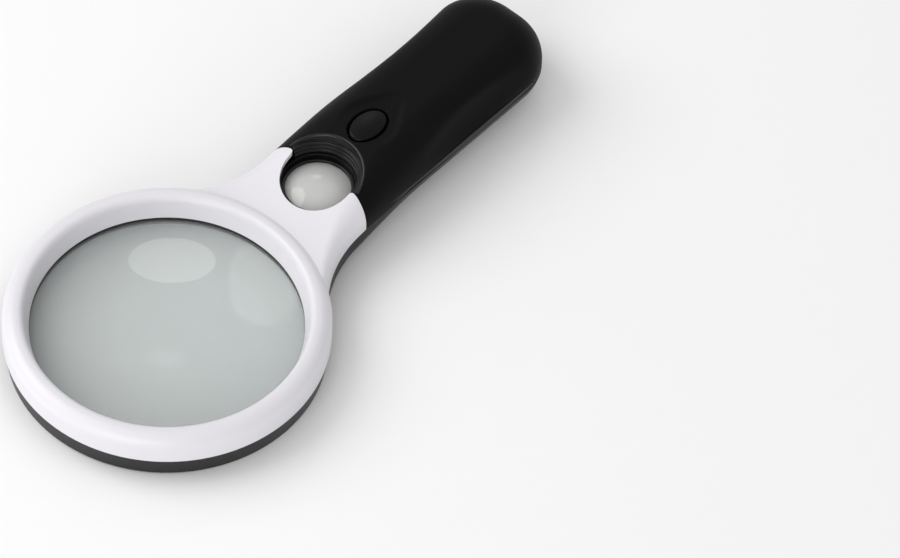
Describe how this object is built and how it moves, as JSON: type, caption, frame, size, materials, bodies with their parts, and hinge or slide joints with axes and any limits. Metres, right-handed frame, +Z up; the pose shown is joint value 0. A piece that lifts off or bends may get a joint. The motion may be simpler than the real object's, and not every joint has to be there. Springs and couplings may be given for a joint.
{
  "type": "low vision magnifier",
  "caption": "Hand-held lit magnifier: large round lens in a white bezel, small loupe in the neck, black battery handle with a push button.",
  "frame": {"origin": "bottom centre of the overall box, on the plane the magnifier lies on", "axes": "+Y runs from the head along the handle, +Z is up out of the front face, +X is across"},
  "size_m": [0.0868, 0.1824, 0.023],
  "materials": {
    "black_shell": "satin soft-touch moulding",
    "white_shell": "smooth satin-gloss moulding",
    "lens_glass": "clear polished",
    "rubber_seal": "matt",
    "button_plastic": "satin",
    "switch_plastic": "plain moulding",
    "spring_steel": "bright wire",
    "circuit_board": "solder mask",
    "ferrite": "ferrite core",
    "chip_epoxy": "moulded epoxy",
    "capacitor_can": "drawn can",
    "led_epoxy": "clear epoxy",
    "cell_jacket": "plain sleeve",
    "nickel_contact": "nickel plated",
    "wire_red": "insulated wire",
    "wire_black": "insulated wire",
    "screw_steel": "zinc plated"
  },
  "bodies": {
    "root": {"rear_housing": "black_shell", "handle_top_cover": "black_shell", "front_bezel": "white_shell", "main_lens": "lens_glass", "loupe_lens": "lens_glass", "main_lens_gasket": "rubber_seal", "loupe_barrel": "black_shell", "loupe_retaining_ring": "black_shell", "switch_body": "switch_plastic", "button_spring": "spring_steel", "control_board": "circuit_board", "inductor": "ferrite", "driver_chip": "chip_epoxy", "capacitor": "capacitor_can", "current_resistor": "chip_epoxy", "led_board": "circuit_board", "led_left": "led_epoxy", "led_centre": "led_epoxy", "led_right": "led_epoxy", "battery_tray": "switch_plastic", "cell_left": "cell_jacket", "cell_right": "cell_jacket", "front_contact": "nickel_contact", "front_contact_spring": "nickel_contact", "rear_contact_positive": "nickel_contact", "rear_contact_negative": "nickel_contact", "rear_contact_spring": "nickel_contact", "led_wire_red": "wire_red", "led_wire_black": "wire_black", "case_screws": "screw_steel"},
    "button": {"button_cap": "button_plastic", "switch_plunger": "switch_plastic"},
    "door": {"battery_door": "black_shell"}
  },
  "joints": [
    {"name": "button_press", "type": "slide", "parent": "root", "child": "button", "axis": [0, 0, -1], "range_m": [0, 0.001], "stiffness_N_per_m": 800, "springref_m": -0.0005, "deforming": ["button_spring"]},
    {"name": "battery_door_slide", "type": "slide", "parent": "root", "child": "door", "axis": [0, 1, 0], "range_m": [0, 0.045]}
  ]
}
